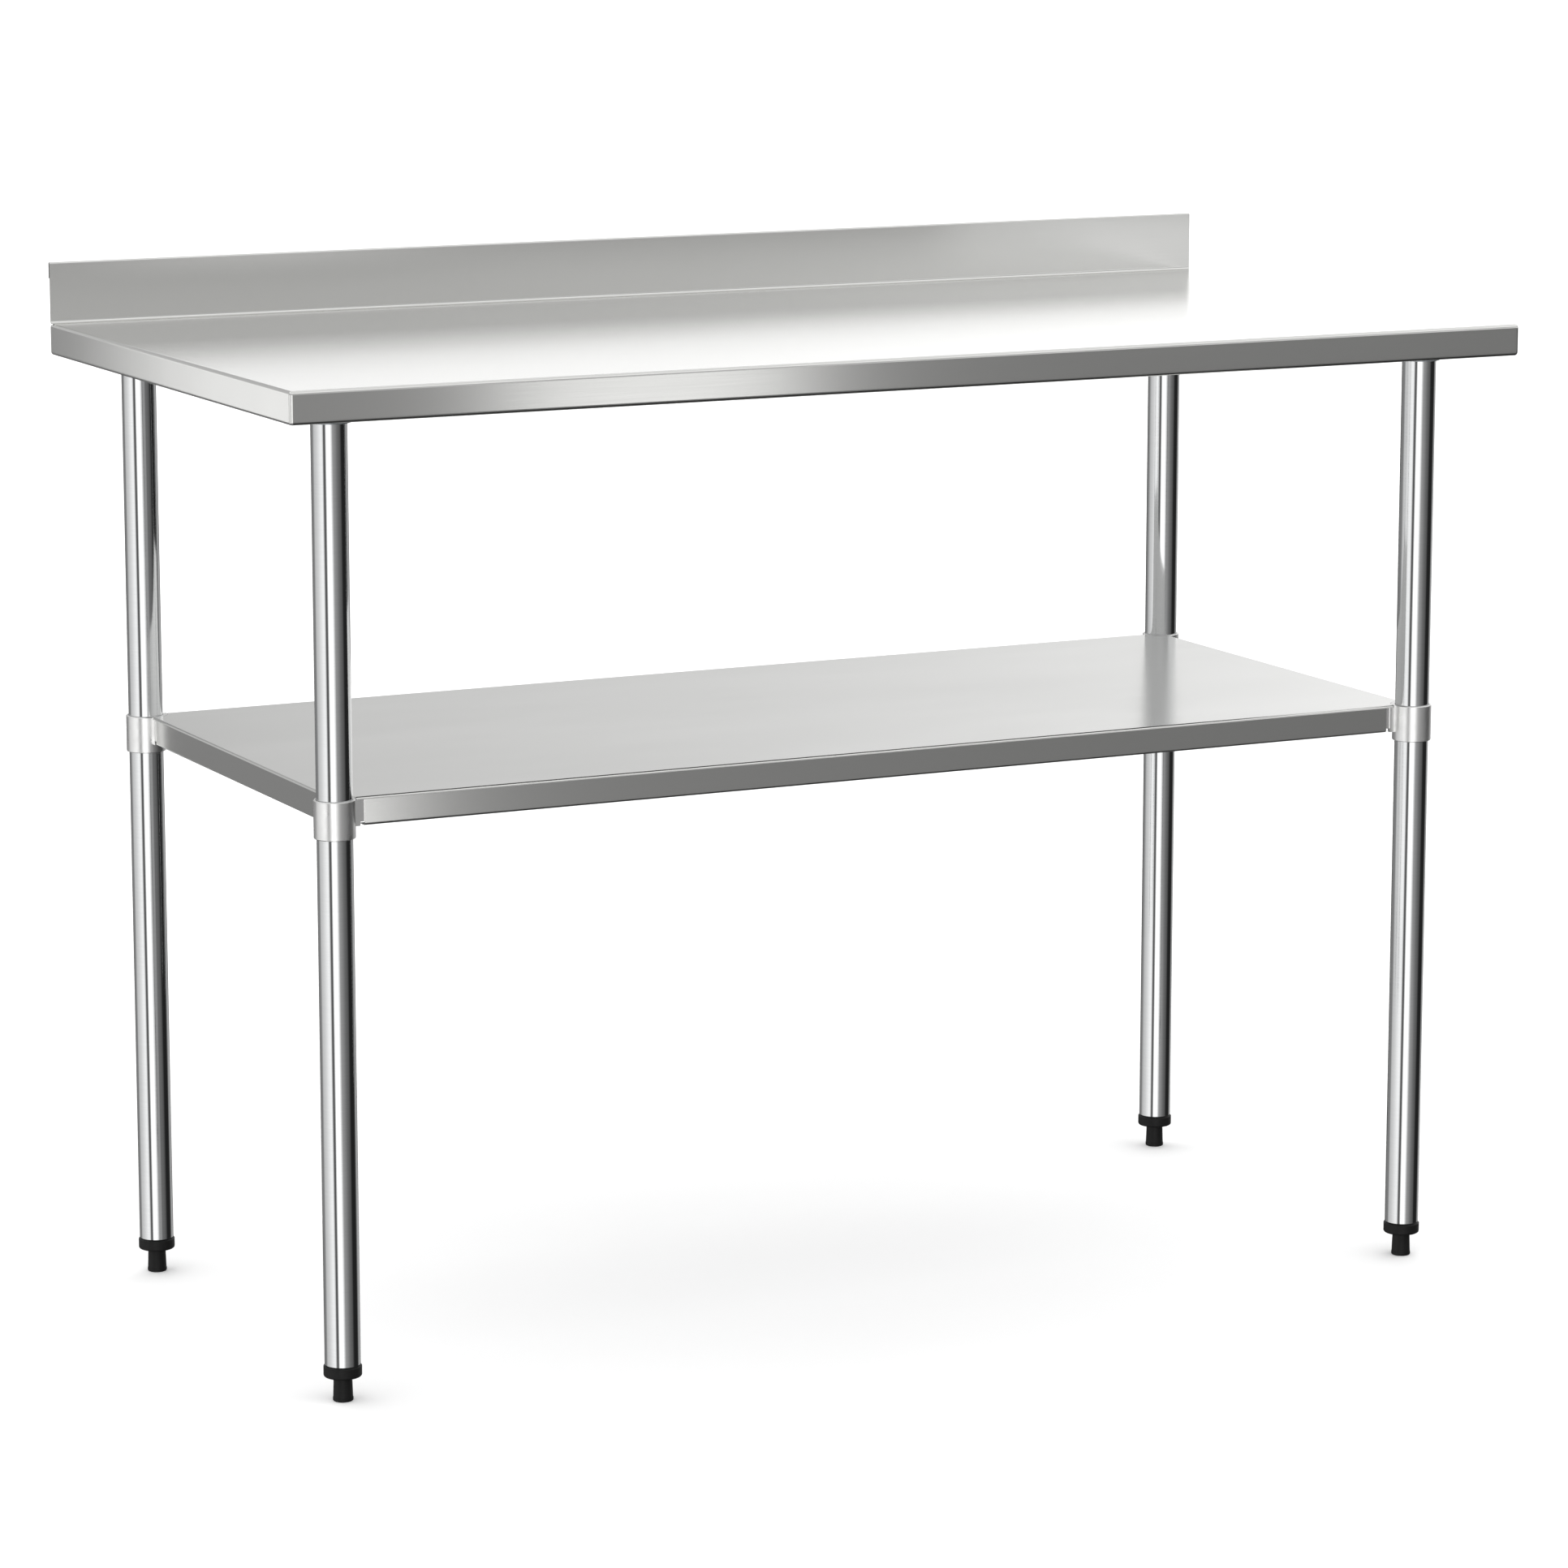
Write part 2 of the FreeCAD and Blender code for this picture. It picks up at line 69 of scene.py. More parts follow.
# A nut's corners are turned off at this slope, from this share of half its width across the flats.
NUT_CHAMFER_SLOPE = math.tan(math.radians(30))
NUT_CHAMFER_SHARE = 0.96

# A weld bead starts and ends at this share of its width, and its ripples are this share of its radius.
BEAD_END_SHARE = 0.35
BEAD_RIPPLE_SHARE = 0.14

# Each quarter of a socket's weld starts at this angle and runs on for this many degrees.
SOCKET_BEAD_START = 15
SOCKET_BEAD_SWEEP = 60

# Distances of the collar's bead from the ends of its edge, and of the spot welds from the flange's edge.
BEAD_END_GAP = 6.0 * MM
SPOT_WELD_INSET = 8.0 * MM

# A spot weld's mark: (share of its radius, height in mm above the sheet), from its rim to its middle.
SPOT_WELD_PROFILE = ((1.0, 0.3), (0.97, -0.12), (0.8, -0.2), (0.6, -0.08), (0.3, 0.02))

# Edges that turn by more than this are drawn sharp.
SHARP_EDGE = math.radians(40)


# --- Settings ---------------------------------------------------------------------------------

def length_setting(name, description, default_mm):
    """Length property, in metres, with its default given in millimetres."""
    return FloatProperty(
        name=name, description=description, default=default_mm * MM, min=0.0, unit="LENGTH",
        subtype="DISTANCE"
    )


def angle_setting(name, description, default_degrees):
    """Angle property, with its default given in degrees."""
    return FloatProperty(
        name=name, description=description, default=math.radians(default_degrees), unit="ROTATION",
        subtype="ANGLE"
    )


def colour_setting(name, description, default):
    """Colour property, kept as an sRGB hex value."""
    return StringProperty(name=name, description=description, default=default)


def share_setting(name, description, default):
    """Property from 0 to 1."""
    return FloatProperty(
        name=name, description=description, default=default, min=0.0, max=1.0, subtype="FACTOR"
    )


class TableFinishSettings(bpy.types.PropertyGroup):
    """Colours and surface sizes of the table's materials."""

    sheet_colour: colour_setting("Sheet colour", "Brushed sheet where it is brightest", "#E6E6E4")
    sheet_shade: colour_setting("Sheet shade", "Brushed sheet where it is dullest", "#DADAD8")
    sheet_roughness: share_setting("Sheet roughness", "Roughness of the brushed sheet", 0.19)
    grain_width: length_setting("Grain width", "Width of one brushing line", 0.6)
    grain_length: length_setting("Grain length", "Length of one brushing line", 90.0)
    grain_depth: length_setting("Grain depth", "Depth of one brushing line", 0.007)
    smear_size: length_setting("Smear size", "Length of one cloudy patch in the brushing", 350.0)
    tube_colour: colour_setting("Tube colour", "Polished tube where it is brightest", "#E6E7E7")
    tube_shade: colour_setting("Tube shade", "Polished tube where it is dullest", "#D2D3D4")
    tube_roughness: share_setting("Tube roughness", "Roughness of the polished tube", 0.07)
    ring_width: length_setting("Ring width", "Distance between two polishing rings", 0.7)
    ring_depth: length_setting("Ring depth", "Depth of a polishing ring", 0.001)
    cast_colour: colour_setting("Casting colour", "Casting where it is brightest", "#F7F7F6")
    cast_shade: colour_setting("Casting shade", "Casting where it is dullest", "#EAEAE9")
    cast_roughness: share_setting("Casting roughness", "Roughness of the casting", 0.30)
    grit_size: length_setting("Grit size", "Width of one blasted dimple", 0.6)
    grit_depth: length_setting("Grit depth", "Depth of one blasted dimple", 0.03)
    zinc_colour: colour_setting("Zinc colour", "Galvanised steel where it is brightest", "#BCC0C3")
    zinc_shade: colour_setting("Zinc shade", "Galvanised steel where it is dullest", "#979CA0")
    spangle_size: length_setting("Spangle size", "Width of one zinc crystal", 11.0)
    spangle_depth: length_setting("Spangle depth", "Unevenness of the zinc", 0.02)
    plating_colour: colour_setting("Plating colour", "Bright zinc plating on screws and nuts", "#CACCCE")
    plastic_colour: colour_setting("Plastic colour", "Black plastic", "#050505")
    plastic_rubbed: colour_setting("Rubbed plastic", "Black plastic where it is rubbed", "#0F0F0F")
    pebble_size: length_setting("Pebble size", "Width of one pebble of the moulded skin", 0.5)
    pebble_depth: length_setting("Pebble depth", "Height of one pebble of the moulded skin", 0.02)
    weld_colour: colour_setting("Weld colour", "Weld metal coloured by heat", "#A9A498")


class TableDetailSettings(bpy.types.PropertyGroup):
    """Sizes of threads, welds and nut chamfers."""

    foot_thread_pitch: length_setting("Foot thread pitch", "Pitch of the levelling feet's studs", 1.5)
    small_thread_pitch: length_setting("Small thread pitch", "Pitch of grub screws and weld studs", 1.0)
    weld_bead_radius: length_setting("Weld bead radius", "Half the width of a weld bead", 1.6)
    weld_ripple: length_setting("Weld ripple", "Distance between two ripples of a weld bead", 1.4)
    spot_weld_radius: length_setting("Spot weld radius", "Radius of a resistance weld's mark", 3.0)
    spot_weld_count: IntProperty(
        name="Spot welds", description="Resistance welds along each flange of the shelf's channel",
        default=11, min=2
    )


class TableStudioSettings(bpy.types.PropertyGroup):
    """Camera, floor and light."""

    camera_place: FloatVectorProperty(
        name="Camera place", description="Where the camera stands", default=(-2.3094, -4.6840, 1.4434),
        subtype="TRANSLATION", unit="LENGTH"
    )
    camera_turn: angle_setting("Camera turn", "Heading of the camera from +Y towards +X", 26.244)
    camera_tilt: angle_setting("Camera tilt", "Downward tilt of the camera", 10.601)
    camera_lens: FloatProperty(
        name="Lens", description="Focal length on a 36 mm wide sensor, in mm", default=129.573,
        subtype="DISTANCE_CAMERA"
    )
    floor_colour: colour_setting("Floor colour", "Plain pale floor", "#F4F4F4")
    floor_shade: colour_setting("Floor shade", "Plain pale floor where it is dullest", "#F0F0F0")
    floor_radius: length_setting("Floor radius", "Radius of the floor", 60000.0)
    room_light: FloatProperty(
        name="Room light", description="Brightness of the even light all round", default=1.55
    )


# --- Colours and nodes --------------------------------------------------------------------------

def linear(hex_colour):
    """Linear RGBA of an sRGB hex colour."""
    values = [int(hex_colour[i:i + 2], 16) / 255 for i in (1, 3, 5)]
    return tuple(v / 12.92 if v <= 0.04045 else ((v + 0.055) / 1.055) ** 2.4 for v in values) + (1.0,)


def add_node(tree, kind, settings=None, inputs=None):
    """Add a node, set its properties, and set its inputs or link them to a (node, output) pair."""
    node = tree.nodes.new(kind)
    for name, value in (settings or {}).items():
        setattr(node, name, value)
    for name, value in (inputs or {}).items():
        if isinstance(value, tuple) and isinstance(value[0], bpy.types.Node):
            tree.links.new(value[0].outputs[value[1]], node.inputs[name])
        else:
            node.inputs[name].default_value = value
    return node


def empty_tree(owner):
    """Cleared node tree of a material or world."""
    owner.use_nodes = True
    owner.node_tree.nodes.clear()
    return owner.node_tree


def pattern(tree, sizes, detail=2.0):
    """Cloudy pattern, fixed to the piece, whose spots have the given sizes in metres along X, Y and Z."""
    place = add_node(tree, "ShaderNodeTexCoord")
    scale = tuple(1 / size for size in sizes)
    scaled = add_node(tree, "ShaderNodeMapping", inputs={"Vector": (place, "Object"), "Scale": scale})
    noise = add_node(
        tree, "ShaderNodeTexNoise", inputs={"Vector": (scaled, "Vector"), "Scale": 1.0, "Detail": detail}
    )
    return noise, "Fac"


def finished(name, tree_maker, colours, roughness, metallic=1.0, ior=1.5):
    """Material whose colour and roughness follow a tone pattern, and whose surface follows a relief.

    The tree maker gives the tone pattern, the relief pattern and the relief's depth in metres.
    """
    material = bpy.data.materials.new(name)
    tree = empty_tree(material)
    tone, relief, depth = tree_maker(tree)
    dull, bright = (linear(colour) for colour in colours)
    colour = add_node(tree, "ShaderNodeMix", {"data_type": "RGBA"}, {"Factor": tone, 6: dull, 7: bright})
    rough = add_node(
        tree, "ShaderNodeMapRange", inputs={"Value": tone, "To Min": roughness[1], "To Max": roughness[0]}
    )
    bump = add_node(tree, "ShaderNodeBump", inputs={"Strength": 1.0, "Distance": depth, "Height": relief})
    shader = add_node(
        tree, "ShaderNodeBsdfPrincipled",
        inputs={
            "Base Color": (colour, 2), "Roughness": (rough, 0), "Normal": (bump, 0), "Metallic": metallic
        }
    )
    if metallic == 0:
        shader.inputs["IOR"].default_value = ior
    add_node(tree, "ShaderNodeOutputMaterial", inputs={"Surface": (shader, 0)})
    return material


# --- Materials --------------------------------------------------------------------------------

def brushed_stainless(settings):
    """304 stainless sheet, belt-brushed: a soft sheen with long fine lines and faint cloudy smears.

    The lines run along the table, and up and down on the end flanges. Real ones are about 0.1 mm wide;
    they are drawn coarser so that they show.
    """
    width, length = settings.grain_width, settings.grain_length
    smear = settings.smear_size

    def surface(tree):
        place = add_node(tree, "ShaderNodeTexCoord")
        facing = add_node(tree, "ShaderNodeSeparateXYZ", inputs={0: (place, "Normal")})
        to_end = add_node(tree, "ShaderNodeMath", {"operation": "ABSOLUTE"}, {0: (facing, "X")})
        is_end = add_node(tree, "ShaderNodeMath", {"operation": "GREATER_THAN"}, {0: (to_end, 0), 1: 0.7})
        along = pattern(tree, (length, width, width))
        upright = pattern(tree, (width, width, length))
        lines = add_node(tree, "ShaderNodeMix", inputs={"Factor": (is_end, 0), 2: along, 3: upright}), 0
        smears = pattern(tree, (smear, smear / 3, smear / 3), 3.0)
        tone = add_node(tree, "ShaderNodeMix", inputs={"Factor": 0.4, 2: smears, 3: lines}), 0
        return tone, lines, settings.grain_depth

    return finished(
        "stainless_sheet_brushed", surface, (settings.sheet_shade, settings.sheet_colour),
        (settings.sheet_roughness - 0.03, settings.sheet_roughness + 0.04)
    )


def polished_tube(settings):
    """Welded 201 stainless tube, ring-polished: mirror stripes along it, with very fine rings across."""
    def surface(tree):
        rings = pattern(tree, (30 * MM, 30 * MM, settings.ring_width))
        patches = pattern(tree, (30 * MM, 30 * MM, 120 * MM), 3.0)
        tone = add_node(tree, "ShaderNodeMix", inputs={"Factor": 0.5, 2: patches, 3: rings}), 0
        return tone, rings, settings.ring_depth

    return finished(
        "stainless_tube_polished", surface, (settings.tube_shade, settings.tube_colour),
        (settings.tube_roughness - 0.02, settings.tube_roughness + 0.03)
    )


def cast_aluminium(settings):
    """Die-cast aluminium, bead-blasted: pale and even, with a fine grit and low soft lumps."""
    def surface(tree):
        grit = pattern(tree, (settings.grit_size,) * 3)
        lumps = pattern(tree, (settings.grit_size * 14,) * 3)
        relief = add_node(tree, "ShaderNodeMix", inputs={"Factor": 0.4, 2: lumps, 3: grit}), 0
        return lumps, relief, settings.grit_depth

    return finished(
        "aluminium_cast_blasted", surface, (settings.cast_shade, settings.cast_colour),
        (settings.cast_roughness - 0.06, settings.cast_roughness + 0.06), metallic=1.0
    )


def galvanised_steel(settings):
    """Hot-dip galvanised sheet: dull blue-grey zinc in a patchwork of flat crystals."""
    def surface(tree):
        place = add_node(tree, "ShaderNodeTexCoord")
        crystals = add_node(
            tree, "ShaderNodeTexVoronoi",
            inputs={"Vector": (place, "Object"), "Scale": 1 / settings.spangle_size}
        )
        crystal_tone = add_node(tree, "ShaderNodeSeparateColor", inputs={0: (crystals, "Color")})
        clouds = pattern(tree, (settings.spangle_size * 5,) * 3, 3.0)
        tone = add_node(tree, "ShaderNodeMix", inputs={"Factor": 0.5, 2: (crystal_tone, 0), 3: clouds}), 0
        return tone, clouds, settings.spangle_depth

    return finished(
        "steel_galvanised", surface, (settings.zinc_shade, settings.zinc_colour), (0.36, 0.56)
    )


def zinc_plating(settings):
    """Bright zinc plate on turned screws and nuts: a soft shine with faint tool marks."""
    def surface(tree):
        marks = pattern(tree, (4 * MM, 4 * MM, 0.5 * MM))
        return marks, marks, settings.ring_depth

    return finished(
        "steel_zinc_plated", surface, (settings.zinc_shade, settings.plating_colour), (0.22, 0.40)
    )


def moulded_polyethylene(settings):
    """Black polyethylene from a spark-eroded mould: matt, with a pebbled skin and paler rubbed spots."""
    def surface(tree):
        pebbles = pattern(tree, (settings.pebble_size,) * 3)
        rubbed = pattern(tree, (settings.pebble_size * 12,) * 3, 3.0)
        return rubbed, pebbles, settings.pebble_depth

    return finished(
        "polyethylene_moulded_black", surface, (settings.plastic_colour, settings.plastic_rubbed),
        (0.46, 0.58), metallic=0.0, ior=1.35
    )


def weld_metal(settings):
    """Wire-brushed weld: duller than the sheet beside it and slightly straw-coloured by heat."""
    def surface(tree):
        heat = pattern(tree, (6 * MM,) * 3)
        scratches = pattern(tree, (settings.ring_width,) * 3)
        return heat, scratches, settings.ring_depth

    return finished(
        "steel_weld_brushed", surface, (settings.weld_colour, settings.sheet_shade), (0.32, 0.50)
    )


def finish_nodes(names, material):
    """Give carried-over solids a material."""
    for name in names:
        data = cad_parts[name].data
        data.materials.clear()
        data.materials.append(material)


def per_corner(piece):
    """Names of a piece's four copies."""
    return [piece + "_" + corner for corner in CORNERS]


# --- Mesh pieces --------------------------------------------------------------------------------

def mesh_object(name, mesh_builder, material):
    """Object from a bmesh, smooth where it is nearly flat."""
    data = bpy.data.meshes.new(name)
    bmesh.ops.recalc_face_normals(mesh_builder, faces=mesh_builder.faces)
    for face in mesh_builder.faces:
        face.smooth = True
    for edge in mesh_builder.edges:
        if len(edge.link_faces) == 2 and edge.calc_face_angle() > SHARP_EDGE:
            edge.smooth = False
    mesh_builder.to_mesh(data)
    mesh_builder.free()
    data.materials.append(material)
    made = bpy.data.objects.new(name, data)
    bpy.context.scene.collection.objects.link(made)
    return made


def loft(builder, loops, close_start=True, close_end=True):
    """Skin closed loops of equal length, given as lists of points."""
    rows = [[builder.verts.new(point) for point in loop] for loop in loops]
    for lower, upper in zip(rows, rows[1:]):
        for index in range(len(lower)):
            following = (index + 1) % len(lower)
            builder.faces.new((lower[index], lower[following], upper[following], upper[index]))
    if close_start:
        builder.faces.new(rows[0][::-1])
    if close_end:
        builder.faces.new(rows[-1])


def circle_loop(radius, height, sides):
    """Loop of points round the Z axis. The radius may be a function of the angle."""
    points = []
    for index in range(sides):
        angle = 2 * math.pi * index / sides
        reach = radius(angle) if callable(radius) else radius
        points.append(Vector((reach * math.cos(angle), reach * math.sin(angle), height)))
    return points


def hexagon_reach(across_flats):
    """Function that gives a hexagon's edge distance at an angle."""
    def reach(angle):
        off_flat = (angle + math.pi / 6) % (math.pi / 3) - math.pi / 6
        return across_flats / 2 / math.cos(off_flat)
    return reach


def thread_radius(radius, pitch, height, low, high):
    """Function that gives a thread's radius at an angle, at one height, with run-outs at both ends."""
    depth = THREAD_DEPTH_SHARE * pitch

    def reach(angle):
        phase = (height / pitch - angle / (2 * math.pi)) % 1.0
        groove = 1 - abs(2 * phase - 1)
        near_end = min(height - low, high - height) / pitch
        crest = radius - depth * (1 - min(1.0, near_end))
        return min(radius - depth * groove, crest)
    return reach


def threaded_rod(builder, radius, pitch, low, high, key_across=0.0, key_depth=0.0, sides=24, steps=6):
    """Threaded rod on the Z axis, with an optional hexagonal key hole in its upper end."""
    rows = max(2, round((high - low) / pitch * steps))
    heights = [low + (high - low) * row / rows for row in range(rows + 1)]
    loops = [circle_loop(thread_radius(radius, pitch, h, low, high), h, sides) for h in heights]
    if key_depth > 0:
        key = hexagon_reach(key_across)
        loops.append(circle_loop(key, high, sides))
        loops.append(circle_loop(key, high - key_depth, sides))
    loft(builder, loops)


def chamfered_nut(builder, across_flats, bore_radius, low, high, sides=48):
    """Hexagonal nut on the Z axis, with its corners turned off at both ends."""
    side = hexagon_reach(across_flats)
    flat_radius = across_flats / 2 * NUT_CHAMFER_SHARE

    def corner_loop(height, direction):
        points = []
        for index in range(sides):
            angle = 2 * math.pi * index / sides
            reach = side(angle)
            rim = height + direction * NUT_CHAMFER_SLOPE * max(0.0, reach - flat_radius)
            points.append(Vector((reach * math.cos(angle), reach * math.sin(angle), rim)))
        return points

    loops = [
        circle_loop(bore_radius, low, sides),
        circle_loop(flat_radius, low, sides),
        corner_loop(low, 1),
        corner_loop(high, -1),
        circle_loop(flat_radius, high, sides),
        circle_loop(bore_radius, high, sides),
        circle_loop(bore_radius, low, sides),
    ]
    loft(builder, loops, close_start=False, close_end=False)
    bmesh.ops.remove_doubles(builder, verts=builder.verts, dist=1e-7)


def weld_bead(builder, points, radius, ripple, sides=8, steps=4):
    """Rippled bead along a level path of points, tapered at both ends."""
    lengths = [0.0]
    for start, end in zip(points, points[1:]):
        lengths.append(lengths[-1] + (end - start).length)
    count = max(4, round(lengths[-1] / ripple * steps))
    loops = []
    segment = 0
    for index in range(count + 1):
        travelled = lengths[-1] * index / count
        while segment < len(points) - 2 and travelled > lengths[segment + 1]:
            segment += 1
        start, end = points[segment], points[segment + 1]
        share = (travelled - lengths[segment]) / (end - start).length
        centre = start.lerp(end, share)
        forward = (end - start).normalized()
        side = forward.cross(Vector((0, 0, 1))).normalized()
        up = side.cross(forward)
        wave = abs(math.sin(math.pi * travelled / ripple))
        from_end = min(travelled, lengths[-1] - travelled)
        taper = min(1.0, BEAD_END_SHARE + from_end / (2 * radius))
        reach = radius * taper * (1 - BEAD_RIPPLE_SHARE * (1 - wave))
        loop = []
        for corner in range(sides):
            angle = 2 * math.pi * corner / sides
            loop.append(centre + side * (reach * math.cos(angle)) + up * (reach * math.sin(angle)))
        loops.append(loop)
    loft(builder, loops)


def node_axis(name):
    """Point under the middle of a solid, on the floor."""
    low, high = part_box(name)
    return Vector(((low.x + high.x) / 2, (low.y + high.y) / 2, 0.0))


def inward(corner):
    """Signs of the directions from a leg towards the middle of the table."""
    side_sign = 1 if "left" in corner else -1
    depth_sign = 1 if "front" in corner else -1
    return side_sign, depth_sign


def place_mesh(builder, matrix):
    """Move everything made so far in a builder."""
    bmesh.ops.transform(builder, matrix=matrix, verts=builder.verts)


# --- Operators ------------------------------------------------------------------------------------

class TABLE_OT_stage(bpy.types.Operator):
    """Set up the camera, the floor and the studio light"""

    bl_idname = "table.stage"
    bl_label = "Studio"

    def execute(self, context):
        studio = context.scene.table_studio
        make_camera(context, studio)
        make_floor(context, studio)
        make_cards(context)
        make_surroundings(context, studio)
        context.scene.view_settings.view_transform = "Standard"
        return {"FINISHED"}


def make_camera(context, studio):
    """Camera at eye level, in front of the left end of the table."""
    data = bpy.data.cameras.new("table_camera")
    data.lens = studio.camera_lens
    data.sensor_width = 36.0
    data.clip_end = 200.0
    camera = bpy.data.objects.new("table_camera", data)
    camera.location = studio.camera_place
    camera.rotation_euler = (math.pi / 2 - studio.camera_tilt, 0.0, -studio.camera_turn)
    context.scene.collection.objects.link(camera)
    context.scene.camera = camera


def make_floor(context, studio):
    """Round floor, wide enough to reach the horizon."""
    builder = bmesh.new()
    bmesh.ops.create_circle(builder, cap_ends=True, segments=96, radius=studio.floor_radius)
    data = bpy.data.meshes.new("studio_floor")
    builder.to_mesh(data)
    builder.free()
    floor = bpy.data.objects.new("studio_floor", data)
    context.scene.collection.objects.link(floor)

    def surface(tree):
        mottle = pattern(tree, (400 * MM,) * 3)
        return mottle, mottle, 0.1 * MM

    colours = (studio.floor_shade, studio.floor_colour)
    floor.data.materials.append(finished("studio_floor_painted", surface, colours, (0.9, 0.9), 0.0))
    floor.visible_glossy = False


# Cards that only the brushed sheets mirror: name, place of the middle, width, height, brightness, the
# direction they face along Y, the sheet that they light, and whether the upstand hides them from it.
# Places and sizes are in metres.
CARDS = (
    ("card_front_high", (0.28, -1.50, 0.73), 0.36, 0.20, 1.15, 1, "worktop_sheet", True),
    ("card_front_low", (-0.13, -1.50, 0.27), 0.28, 0.20, 1.50, 1, "shelf_sheet", True),
    ("card_left", (-1.38, 1.10, 0.72), 0.80, 0.50, 0.85, -1, "worktop_sheet", True),
    ("card_right", (0.84, -0.28, 0.86), 0.40, 0.12, 0.70, 1, "worktop_sheet", True),
    ("card_back", (1.40, 2.60, 1.35), 3.40, 0.60, 0.78, -1, "worktop_sheet", False),
)

# What the polished tubes and the flanges mirror: (heading, brightness) along the studio's wall, in
# degrees from the camera's side of the room, positive to the right.
WALL = (
    (-180, 0.08),
    (-162, 0.08),
    (-140, 0.26),
    (-118, 0.26),
    (-106, 0.66),
    (-80, 0.85),
    (-50, 1.20),
    (-40, 1.20),
    (-30, 0.12),
    (-21, 0.12),
    (-12, 1.55),
    (10, 1.55),
    (26, 0.42),
    (46, 0.27),
    (56, 0.19),
    (74, 0.12),
    (86, 0.02),
    (118, 0.02),
    (136, 0.45),
    (152, 0.50),
    (166, 0.08),
    (180, 0.08),
)

# What the worktop mirrors: (heading, brightness) along the band just above the wall.
LOW_BAND = (
    (-180, 0.32),
    (-174, 0.22),
    (-167, 0.06),
    (-161, 0.06),
    (-154, 0.55),
    (-110, 0.60),
    (0, 0.60),
    (40, 0.38),
    (48, 0.54),
    (66, 1.50),
    (100, 1.20),
    (150, 0.70),
    (180, 0.32),
)

# What the shelf mirrors: (heading, brightness) along the band above that.
HIGH_BAND = (
    (-180, 0.98),
    (-174, 0.78),
    (-167, 0.06),
    (-161, 0.06),
    (-154, 0.60),
    (-110, 0.60),
    (60, 0.60),
    (130, 1.00),
    (168, 1.75),
    (180, 0.98),
)

# Elevations in degrees of the tops of the wall and of the two bands, and how far each edge is blurred.
WALL_TOP = 1
LOW_BAND_TOP = 8
HIGH_BAND_TOP = 16
BAND_BLUR = 2

# What lies above the bands: (elevation, brightness) of a plain upper wall, a lit cornice and a ceiling.
UPPER_WALL = (
    (16, 0.50),
    (34, 0.58),
    (42, 1.35),
    (58, 0.85),
)

# What lies below the wall: (elevation, share of the wall's brightness) of the floor, which is dark where it
# meets the wall.
FLOOR_SHARE = (
    (-60, 0.40),
    (-41, 0.12),
    (-36, 1.00),
)


def make_cards(context):
    """Cards round the table, each seen by one brushed sheet only."""
    for name, place, width, height, brightness, facing, sheet, is_hidden in CARDS:
        lit = bpy.data.collections.new("lit_by_" + name)
        lit.objects.link(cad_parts[sheet])
        data = bpy.data.lights.new(name, "AREA")
        data.shape = "RECTANGLE"
        data.size = width
        data.size_y = height
        data.energy = brightness * math.pi * width * height
        data.use_shadow = is_hidden
        card = bpy.data.objects.new(name, data)
        card.location = place
        card.rotation_euler = (facing * math.pi / 2, 0.0, 0.0)
        card.visible_camera = False
        card.visible_diffuse = False
        card.light_linking.receiver_collection = lit
        context.scene.collection.objects.link(card)


def set_stops(ramp, stops, reach):
    """Give a new ramp its (angle, brightness) stops. Its angles run from -reach to reach, in degrees."""
    elements = ramp.elements
    elements.remove(elements[1])
    for index, (degrees, brightness) in enumerate(stops):
        position = (degrees + reach) / (2 * reach)
        element = elements[0] if index == 0 else elements.new(position)
        element.position = position
        element.color = (brightness, brightness, brightness, 1.0)


